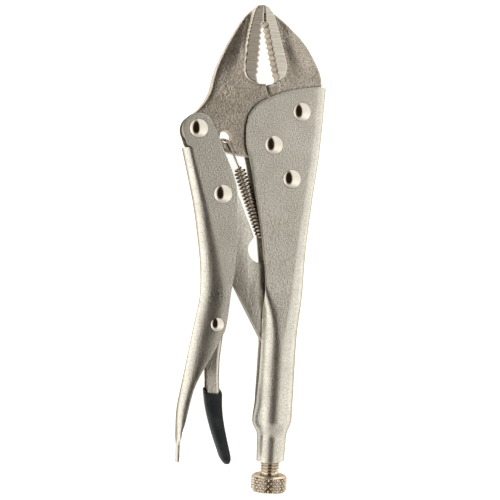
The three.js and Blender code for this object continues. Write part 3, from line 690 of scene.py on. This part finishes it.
def makeLeverHandle():
    px, py = lever["pivot"]
    start = leverPoint(lever["webTop"], 0.5)
    ear = [start[:2], (-43.3, -1.5), (-44.4, -0.3), (-45.0, 1.6)]
    ear = [tuple(p) for p in smoothLine(ear, 5)] + arc((px, py), lever["ear"], 212, 32, 40)[1:]
    ear += [tuple(p) for p in smoothLine([ear[-1], (-30.6, 8.9), (-29.7, 6.9)], 4)[1:]]
    lengths = np.concatenate([[0], np.cumsum(np.linalg.norm(np.diff(np.array(ear), axis=0), axis=1))])
    lengths /= lengths[-1]
    earRows = 14
    stations = [lever["webTop"]] * earRows + list(np.linspace(lever["webTop"], 0.9, 70))
    stations += list(np.linspace(0.906, 0.965, 20)) + [0.975, 0.985, 0.993, 1.0]

    def place(across, along):
        u = 2 * across - 1
        k = int(round(along * (len(stations) - 1)))
        waist = leverPoint(stations[k], u)
        if abs(u) <= 0.5 or k >= earRows:
            return waist
        share = (abs(u) - 0.5) / 0.5
        top = [float(np.interp(share, lengths, [p[i] for p in ear])) for i in (0, 1)]
        return lerp(top[0], waist[0], k / earRows), lerp(top[1], waist[1], k / earRows), waist[2]

    bm = gridShell(lever["columns"], len(stations) - 1, place)
    closeUp(bm, 0.001)
    rear = [f for f in bm.faces if f.calc_center_median().x < leverBack(0.3) - 0.5]
    lean = sum(f.normal.x * f.calc_area() for f in rear)
    if lean > 0:
        bmesh.ops.reverse_faces(bm, faces=bm.faces)
    bmesh.ops.solidify(bm, geom=bm.faces[:], thickness=lever["sheet"])
    bmesh.ops.recalc_face_normals(bm, faces=bm.faces)
    roundEdges(bm, lever["edge"], 55)
    return bm


addPiece(makeLeverHandle(), "lever_channel", "lever_handle", platedSheet, "lever_handle")
print("lever handle ready")


# Toggle link

link = {"pivot": (-26.4, -25.2), "head": 7.8, "foot": (2.7, -107.5), "footRadius": 3.5,
    "notch": (-5.8, -53.0),
        "notchRadius": 6.9, "half": 2.3, "boss": 6.6, "bossHalf": 3.75, "edge": 0.35}


def makeLink():
    nx, ny = link["notch"]
    cusp = (-9.6, -46.6)
    fx, fy = link["foot"]
    cuspTurn = math.degrees(math.atan2(cusp[1] - ny, cusp[0] - nx)) % 360
    outline = arc(link["pivot"], link["head"], 19.8, 190.8, 24)
    outline += [tuple(p) for p in smoothLine([outline[-1], (-31.4, -43), (-27, -57.6)], 8)[1:]]
    outline += [tuple(p) for p in smoothLine([(-20.6, -70.3), (-5.6, -99.7)], 4)]
    outline += arc((fx, fy), link["footRadius"], 207, 363.6, 14)
    outline += [(fx + link["footRadius"] - 0.6, -73.4), (nx + 3.6, ny - link["notchRadius"])]
    outline += arc((nx, ny), link["notchRadius"], 270, cuspTurn, 16)[:-1] + [cusp]
    outline += [tuple(p) for p in smoothLine([cusp, (-11.5, -41.2), (-13.8, -35.8), (-16, -29.7),
        outline[0]], 5)[1:-1]]
    bm = prism(outline, -link["half"], link["half"])
    roundEdges(bm, link["edge"], 45, 3, lambda e: abs(e.verts[0].co.z - e.verts[1].co.z) < 0.01)
    boss = rod(link["pivot"], link["boss"], -link["bossHalf"], link["bossHalf"], 64)
    roundEdges(boss, 0.3, 45)
    return joined(bm, boss)


addPiece(makeLink(), "link_plate", "toggle_link", platedSheet, "toggle_link")


# Release lever and its vinyl sleeve

release = {
    "sheet": 1.4, "half": 3.6, "corner": 1.9, "edge": 0.3, "top": 0.4895, "bottom": 0.981,
    "sleeveTop": 0.789, "sleeveEnd": 1.017, "sleeveFloor": 0.95, "gap": 0.15, "wall": 1.3, "square": 0.62,
    "mouthTilt": 1.3, "lean": 0.65, "leanEnd": 0.76,
}
releaseLine = profile([
    [0.633, -29.8], [0.717, -30.9], [0.8, -30.6], [0.86, -29.7], [0.92, -27.6], [0.98, -24.9],
    [1.035, -22.6]])
releaseHalf = profile([[0.633, 4], [0.717, 3.5], [0.79, 3.25], [0.86, 2.5], [0.92, 2.0], [0.98, 1.45],
    [1.035, 1.0]])
releaseBack = profile([
    [0.4895, -23.4], [0.497, -22.5], [0.51, -22.4], [0.55, -23.4], [0.588, -24.9], [0.633, -25.8],
    [0.68, -26.9],
    [0.717, -27.4], [0.8, -27.7]])
releaseEdge = profile([
    [0.4895, -25.2], [0.5, -26.8], [0.536, -29.2], [0.573, -31.4], [0.633, -33.2], [0.717, -34.4],
    [0.8, -33.5]])


def makeReleaseLever():
    stations = np.concatenate([np.linspace(release["top"], 0.52, 8),
        np.linspace(0.53, release["bottom"], 60)])

    def place(across, along):
        u = 2 * across - 1
        side, sign = abs(u), 1 if u < 0 else -1
        s = float(stations[int(round(along * (len(stations) - 1)))])
        back = releaseBack(s) if s < 0.76 else releaseLine(s) + releaseHalf(s)
        edge = releaseEdge(s) if s < 0.76 else releaseLine(s) - releaseHalf(s)
        corner = min(release["corner"], (back - edge) * 0.45)
        half = release["half"]
        if side < 0.2:
            x, z = back, side / 0.2 * (half - corner)
        elif side < 0.55:
            turn = (side - 0.2) / 0.35 * math.pi / 2
            x, z = back - corner + corner * math.cos(turn), half - corner + corner * math.sin(turn)
        else:
            share = (side - 0.55) / 0.45
            lean = release["lean"] * (1 - smoothStep(s, release["leanEnd"] - 0.06, release["leanEnd"]))
            x, z = lerp(back - corner, edge, share), half - lean * share
        return x, leverY(s), sign * z

    bm = gridShell(48, len(stations) - 1, place)
    bmesh.ops.recalc_face_normals(bm, faces=bm.faces)
    lean = sum(f.normal.z * math.copysign(1, f.calc_center_median().z) * f.calc_area() for f in bm.faces)
    if lean < 0:
        bmesh.ops.reverse_faces(bm, faces=bm.faces)
    bmesh.ops.solidify(bm, geom=bm.faces[:], thickness=release["sheet"])
    bmesh.ops.recalc_face_normals(bm, faces=bm.faces)
    roundEdges(bm, release["edge"], 55)
    return bm


def makeSleeve():
    gap, wall, top = release["gap"], release["wall"], release["sleeveTop"]
    span = lever["reach"]
    floor = release["sleeveFloor"]
    stations = [(s, gap) for s in [floor, floor, *np.linspace(0.94, top + 0.004, 14)]]
    stations += [(top + 0.004 - 0.004 * math.sin(t), gap + wall / 2 - wall / 2 * math.cos(t))
                 for t in np.linspace(0.2, math.pi - 0.2, 8)]
    stations += [(s, gap + wall) for s in np.linspace(top + 0.005, 0.985, 34)]
    stations += [(release["sleeveEnd"] - 0.031 * math.cos(t), gap + wall)
                 for t in np.linspace(0.1, math.pi / 2, 14)]
    inner = len(stations) - 48

    def place(across, along):
        turn = across * 2 * math.pi
        k = int(round(along * (len(stations) - 1)))
        s, grow = stations[k]
        wide, deep = releaseHalf(s) + grow, release["half"] + grow
        fromEnd = max(0, (release["sleeveEnd"] - s) * span)
        taper = 1.0 if k < inner else math.sqrt(max(0, 1 - (1 - min(1, fromEnd / 5.2)) ** 2))
        if k == 0:
            taper = 0.0
        bend = lambda v: math.copysign(abs(v) ** release["square"], v)
        x = taper * wide * bend(math.cos(turn))
        z = taper * deep * bend(math.sin(turn))
        mouth = math.exp(-((s - top) * span / 4) ** 2) * release["mouthTilt"] * (z / deep + 0.3 * x / wide)
        return releaseLine(s) + x, leverY(s) - mouth, z

    bm = gridShell(56, len(stations) - 1, place)
    closeUp(bm, 0.004)
    return bm


addPiece(makeReleaseLever(), "release_arm", "release_lever", platedSheet, "release_lever")
addPiece(makeSleeve(), "release_sleeve", "release_lever", blackVinyl, "release_lever_sleeve")
print("link and release lever ready")


# Adjusting screw

screw = {
    "radius": 5.0, "root": 4.15, "pitch": 1.5, "steps": 40, "tip": -114.3, "threadEnd": -167.1, "neck": 4.6,
    "headTop": -168.1, "headLength": 8.6, "headRadius": 9.2, "knurl": 22, "knurlDepth": 0.95, "knurlSteps": 8,
}


def tubeTurn(bm, y):
    # Moves a shape made round the Y axis at the origin to height y on the tube's leaning axis
    bm.transform(Matrix.Translation((axisX(y), y, 0)) @ Matrix.Rotation(-math.atan(handle["tubeLean"]), 4,
        "Z"))
    return bm


def spun(points, steps=64):
    # A solid of revolution about the Y axis from (radius, height) points
    bm = bmesh.new()
    verts = [bm.verts.new((x, y, 0)) for x, y in points]
    edges = [bm.edges.new(pair) for pair in zip(verts, verts[1:])]
    bmesh.ops.spin(
        bm, geom=verts + edges, cent=(0, 0, 0), axis=(0, 1, 0), dvec=(0, 0, 0), angle=2 * math.pi,
        steps=steps,
        use_merge=True, use_duplicate=False)
    closeUp(bm, 0.001)
    return bm


def makeThread():
    length = screw["tip"] - screw["threadEnd"]
    turns = int(length / screw["pitch"])
    flat = screw["pitch"] / 8
    shape = [(screw["root"], 0), (screw["root"], flat), (screw["radius"], screw["pitch"] / 2 - flat / 2),
             (screw["radius"], screw["pitch"] / 2 + flat / 2), (screw["root"], screw["pitch"])]
    bm = bmesh.new()
    verts = [bm.verts.new((x, y, 0)) for x, y in shape]
    edges = [bm.edges.new(pair) for pair in zip(verts, verts[1:])]
    bmesh.ops.spin(
        bm, geom=verts + edges, cent=(0, 0, 0), axis=(0, 1, 0), dvec=(0, screw["pitch"] / screw["steps"], 0),
        angle=2 * math.pi * turns, steps=screw["steps"] * turns, use_merge=False, use_duplicate=False)
    bmesh.ops.remove_doubles(bm, verts=bm.verts, dist=0.002)
    top = max(v.co.y for v in bm.verts)
    for v in bm.verts:
        wide = math.hypot(v.co.x, v.co.z)
        shown = smoothStep(min(v.co.y, top - v.co.y), 0.2, 1.6)
        slim = lerp(screw["root"] - 0.05, wide, shown) / wide
        v.co.x, v.co.z = v.co.x * slim, v.co.z * slim
    bmesh.ops.holes_fill(bm, edges=[e for e in bm.edges if e.is_boundary], sides=0)
    bmesh.ops.recalc_face_normals(bm, faces=bm.faces)
    neckLow = screw["headTop"] - screw["threadEnd"] - 1.5
    neck = spun([(0, neckLow), (screw["neck"], neckLow), (screw["neck"], 0.3), (screw["root"] - 0.3, 1.2),
        (0, 1.2)], 48)
    return tubeTurn(joined(bm, neck), screw["threadEnd"])


def makeHead():
    r, length = screw["headRadius"], screw["headLength"]
    half = length / 2
    steps = screw["knurlSteps"]
    across = screw["knurl"] * steps
    pitch = 2 * math.pi * r / screw["knurl"]
    rows = int((length - 1.7) / pitch * steps / 2)

    def triangle(v):
        return abs((v % 1) * 2 - 1)

    lathe = [(0, half - 0.3), (5.2, half - 0.3), (5.6, half), (r - 1.5, half), (r - 0.55, half - 0.7)]
    lathe += [(r, -k * pitch / steps) for k in range(-rows, rows + 1)]
    lathe += [(r - 0.55, -half + 0.7), (r - 1.3, -half), (6.4, -half), (6.0, -half + 0.5), (3.2, -half + 0.5),
              (2.9, -half + 0.9), (0, -half + 0.9)]
    first, last = 5, 5 + 2 * rows

    def place(sideways, along):
        turn = sideways * 2 * math.pi
        k = int(round(along * (len(lathe) - 1)))
        radius, y = lathe[k]
        if first <= k <= last:
            a = sideways * screw["knurl"]
            b = y / pitch
            radius -= screw["knurlDepth"] * smoothStep(max(triangle(a + b), triangle(a - b)), 0.3, 1)
        return radius * math.cos(turn), y, radius * math.sin(turn)

    bm = gridShell(across, len(lathe) - 1, place)
    closeUp(bm, 0.001)
    return tubeTurn(bm, screw["headTop"] - half)


addPiece(makeThread(), "screw_thread", "screw_rod", turnedNickel, "adjusting_screw_rod")
addPiece(makeHead(), "screw_head_knurled", "screw_head", turnedNickel, "adjusting_screw_head")
print("adjusting screw ready")


# Rivets

rivets = {
    "fixed_jaw_front_rivet": ((14.8, 17.2), "fixed_handle"),
    "fixed_jaw_rear_rivet": ((9.5, -17.1), "fixed_handle"),
    "jaw_pivot_rivet": ((0, 0), "fixed_handle"), "lever_pivot_rivet": ((-38.7, 7.4), "lever_handle"),
    "link_pivot_rivet": ((-26.4, -25.2), "lever_handle"),
    "release_pivot_rivet": ((-29.3, leverY(0.588)), "lever_handle"),
}
rivetLook = {"head": 4.6, "rise": 1.7, "shank": 3.0, "smallHead": 3.35, "smallRise": 1.2, "smallShank": 2.2,
             "half": 5.82, "brim": 0.22}


def makeRivet(centre, small):
    head = rivetLook["smallHead" if small else "head"]
    rise = rivetLook["smallRise" if small else "rise"]
    shank = rivetLook["smallShank" if small else "shank"]
    half, brim = rivetLook["half"], rivetLook["brim"]
    dome = rise - brim
    ball = (head ** 2 + dome ** 2) / (2 * dome)
    widest = math.asin(head / ball)
    top = [(ball * math.sin(t), half + rise - ball * (1 - math.cos(t))) for t in np.linspace(0, widest, 14)]
    side = top + [(head + 0.02, half + brim * 0.4), (head - 0.12, half - 0.02), (shank, half - 0.02)]
    side += [(x, -y) for x, y in reversed(side)]
    bm = spun(side, 56)
    bm.transform(Matrix.Translation((*centre, 0)) @ Matrix.Rotation(math.pi / 2, 4, "X"))
    return bm


for name, (centre, body) in rivets.items():
    addPiece(makeRivet(centre, name.startswith("release")), name + "_domed", body, rivetNickel,
        name)
print("rivets ready")


# Jaw spring: a coil, a wire twisted over itself to the jaw and a hook on the tongue

spring = {
    "from": (-17.2, -11.2), "to": (-4.9, -46.6), "turns": 20, "coil": 2.6, "wire": 0.58, "thin": 0.4,
    "over": 4.75,
    "hole": (-24.2, 2.2), "twist": 1.9, "perTurn": 16,
}


def wirePiece(lines):
    # Round wires along lines of (x, y, z, radius) points
    data = bpy.data.curves.new("wire", "CURVE")
    data.dimensions, data.bevel_depth, data.bevel_resolution, data.use_fill_caps = "3D", 1.0, 2, True
    for line in lines:
        spline = data.splines.new("POLY")
        spline.points.add(len(line) - 1)
        for point, (x, y, z, r) in zip(spline.points, line):
            point.co, point.radius = (x, y, z, 1), r
    obj = bpy.data.objects.new("wire", data)
    bpy.context.scene.collection.objects.link(obj)
    mesh = bpy.data.meshes.new_from_object(obj.evaluated_get(bpy.context.evaluated_depsgraph_get()))
    bm = bmesh.new()
    bm.from_mesh(mesh)
    bpy.data.objects.remove(obj)
    bpy.data.meshes.remove(mesh)
    closeUp(bm, 0.001)
    return bm


def makeSpring():
    start, end = Vector((*spring["from"], 0)), Vector((*spring["to"], 0))
    along = (end - start).normalized()
    across, up = Vector((along.y, -along.x, 0)), Vector((0, 0, 1))
    coil = []
    count = spring["turns"] * spring["perTurn"]
    for i in range(count + 1):
        turn = 2 * math.pi * i / spring["perTurn"] + math.pi / 2
        closing = min(1, (i + 6) / 24, (count - i + 6) / 24)
        round_ = math.cos(turn) * across + math.sin(turn) * up
        p = start.lerp(end, i / count) + spring["coil"] * closing * round_
        coil.append((*p, spring["wire"]))
    hx, hy = spring["hole"]
    over = spring["over"]
    last = Vector(coil[0][:3])
    spine = smoothLine([
        (hx - 0.6, hy + 1.2, -5.2), (hx - 0.2, hy + 0.6, -2.5), (hx, hy - 0.1, 2.0),
        (hx + 0.5, hy - 1.0, over - 0.2),
        (-22.2, -1.6, over), (-21.0, -4.4, over - 0.1), (-19.6, -7.4, over - 0.9), (-18.4, -9.8, 3.1),
        tuple(last)], 10)
    length = 0.0
    strands = [[], []]
    for i, p in enumerate(spine):
        p = Vector(p)
        if i:
            length += (p - Vector(spine[i - 1])).length
        ahead = (Vector(spine[min(i + 1, len(spine) - 1)]) - Vector(spine[max(i - 1, 0)])).normalized()
        side = ahead.cross(Vector((0.37, 0.91, 0.18))).normalized()
        other = ahead.cross(side)
        share = i / (len(spine) - 1)
        apart = lerp(0.36, 0.1, smoothStep(share, 0.45, 1))
        thick = lerp(spring["thin"], 0.3, smoothStep(share, 0.5, 1))
        for k, strand in enumerate(strands):
            turn = 2 * math.pi * length / spring["twist"] + k * math.pi
            q = p + apart * (math.cos(turn) * side + math.sin(turn) * other)
            strand.append((*q, thick))
    tx, ty = tongue["tip"]
    lower = smoothLine([
        coil[-1][:3], (-3.5, -50.4, 0.4), (-2.3, -53.6, 0), (tx - 0.1, ty - 1.2 + 1.3, 0),
        (tx + 0.9, ty - 1.75, 0),
        (tx + 2.6, ty - 1.4, 0), (tx + 3.1, ty + 0.1, 0), (tx + 2.5, ty + 1.6, 0)], 8)
    lines = [coil + [(*p, spring["wire"]) for p in lower[1:]]] + strands
    return wirePiece(lines)


jawSpring = addPiece(makeSpring(), "spring_wire", None, springNickel, "jaw_spring", 60)
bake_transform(jawSpring)
print("spring ready")


# Table, light and camera

studio = {
    "aim": (-11.116, -53.227, 0), "distance": 510.0, "swing": 13.5, "lens": 72.0,
    "overhead": 1.12, "nearEnd": 0.5, "left": 0.42, "right": 0.02, "shade": 0.04, "shadeHalf": 25.0,
    "shadeMiddle": 0.16,
    "shadeHigh": 0.76,
}


def makeFloor():
    bm = bmesh.new()
    bmesh.ops.create_grid(bm, x_segments=1, y_segments=1, size=3.0)
    floor = bpy.data.objects.new("table_top", toMesh(bm, "table_top"))
    bpy.context.scene.collection.objects.link(floor)
    material, tree, shader, place = startMaterial("matt_white_board")
    fibre = addNoise(tree, place, 40, 2.0, 0.5)
    tone = addTone(tree, fibre, "#F7F6F4", "#FBFAF8")
    tree.links.new(tone, shader.inputs["Base Color"])
    shader.inputs["Roughness"].default_value = 0.9
    shader.inputs["Emission Color"].default_value = linear("#FFFFFF")
    shader.inputs["Emission Strength"].default_value = 0.75
    shader.inputs["Specular IOR Level"].default_value = 0.0
    floor.data.materials.append(material)


def makeWorld():
    # A light tent, brighter at the left and dark round the camera, for the plating to reflect
    world = bpy.data.worlds.new("light_tent")
    bpy.context.scene.world = world
    world.use_nodes = True
    tree = world.node_tree
    background = tree.nodes["Background"]
    way = addNode(tree, "ShaderNodeTexCoord").outputs["Generated"]
    turned = addNode(tree, "ShaderNodeMapping", {"vector_type": "POINT"}, {
        "Vector": way, "Rotation": (0, math.radians(studio["swing"]), 0)})
    parts = addNode(tree, "ShaderNodeSeparateXYZ", None, {0: turned.outputs[0]}).outputs
    yaw = addMath(tree, "ARCTAN2", parts["X"], parts["Z"])
    across = addMath(tree, "MULTIPLY", addMath(tree, "ABSOLUTE", yaw), 1 / math.radians(studio["shadeHalf"]))
    across = addMath(tree, "POWER", across, 3.0)
    up = addMath(tree, "SUBTRACT", parts["Y"], studio["shadeMiddle"])
    up = addMath(tree, "ABSOLUTE", addMath(tree, "MULTIPLY", up, 1 / studio["shadeHigh"]))
    both = addMath(tree, "ADD", across, addMath(tree, "POWER", up, 3.0))
    leftSide = addRange(tree, yaw, -1.0, -0.45, studio["left"], 0.0)
    rightSide = addRange(tree, yaw, 0.55, 1.0, 0.0, studio["right"])
    # Overhead the tent is a little brighter towards its near end, and its near wall is dimmer
    length = addRange(tree, parts["Y"], -0.3, 0.3, studio["overhead"] * 1.12, studio["overhead"] * 0.92,
        "LINEAR")
    wall = addMath(tree, "ADD", addMath(tree, "ADD", leftSide, rightSide), length)
    wall = addMath(tree, "MULTIPLY", wall, addRange(tree, parts["Y"], -0.9, -0.4, studio["nearEnd"], 1.0))
    strength = addNode(tree, "ShaderNodeMix", {"data_type": "FLOAT"}, {
        0: addRange(tree, both, 0.45, 1.25), 2: studio["shade"], 3: wall})
    tint = addTone(tree, addRange(tree, both, 0.4, 2.0), "#A98B6E", "#FFFDF8")
    tree.links.new(tint, background.inputs["Color"])
    tree.links.new(strength.outputs[0], background.inputs["Strength"])


def addLamp(name, where, aim, size, power):
    data = bpy.data.lights.new(name, "AREA")
    data.shape, data.size, data.energy = "DISK", size, power
    lamp = bpy.data.objects.new(name, data)
    lamp.location = where
    lamp.rotation_euler = (Vector(aim) - Vector(where)).to_track_quat("-Z", "Y").to_euler()
    lamp.visible_glossy = False
    bpy.context.scene.collection.objects.link(lamp)


def makeCamera():
    data = bpy.data.cameras.new("camera")
    data.lens, data.sensor_width = studio["lens"], 36.0
    data.clip_start, data.clip_end = 0.02, 20.0
    camera = bpy.data.objects.new("camera", data)
    swing = math.radians(studio["swing"])
    back = Vector((-math.sin(swing), 0, math.cos(swing)))
    right = Vector((math.cos(swing), 0, math.sin(swing)))
    turn = Matrix((right, (0, 1, 0), back)).transposed().to_4x4()
    aim = toRow @ Vector(studio["aim"])
    camera.matrix_world = Matrix.Translation(aim + back * studio["distance"] * 0.001) @ turn
    bpy.context.scene.collection.objects.link(camera)
    bpy.context.scene.camera = camera


makeFloor()
makeWorld()
addLamp("soft_left", (-0.55, 0.25, 0.5), (0, 0, 0), 0.5, 2.2)
addLamp("soft_right", (0.6, 0.1, 0.45), (0, 0, 0), 0.5, 1.6)
makeCamera()
bpy.context.scene.view_settings.view_transform = "Standard"
print("studio ready")
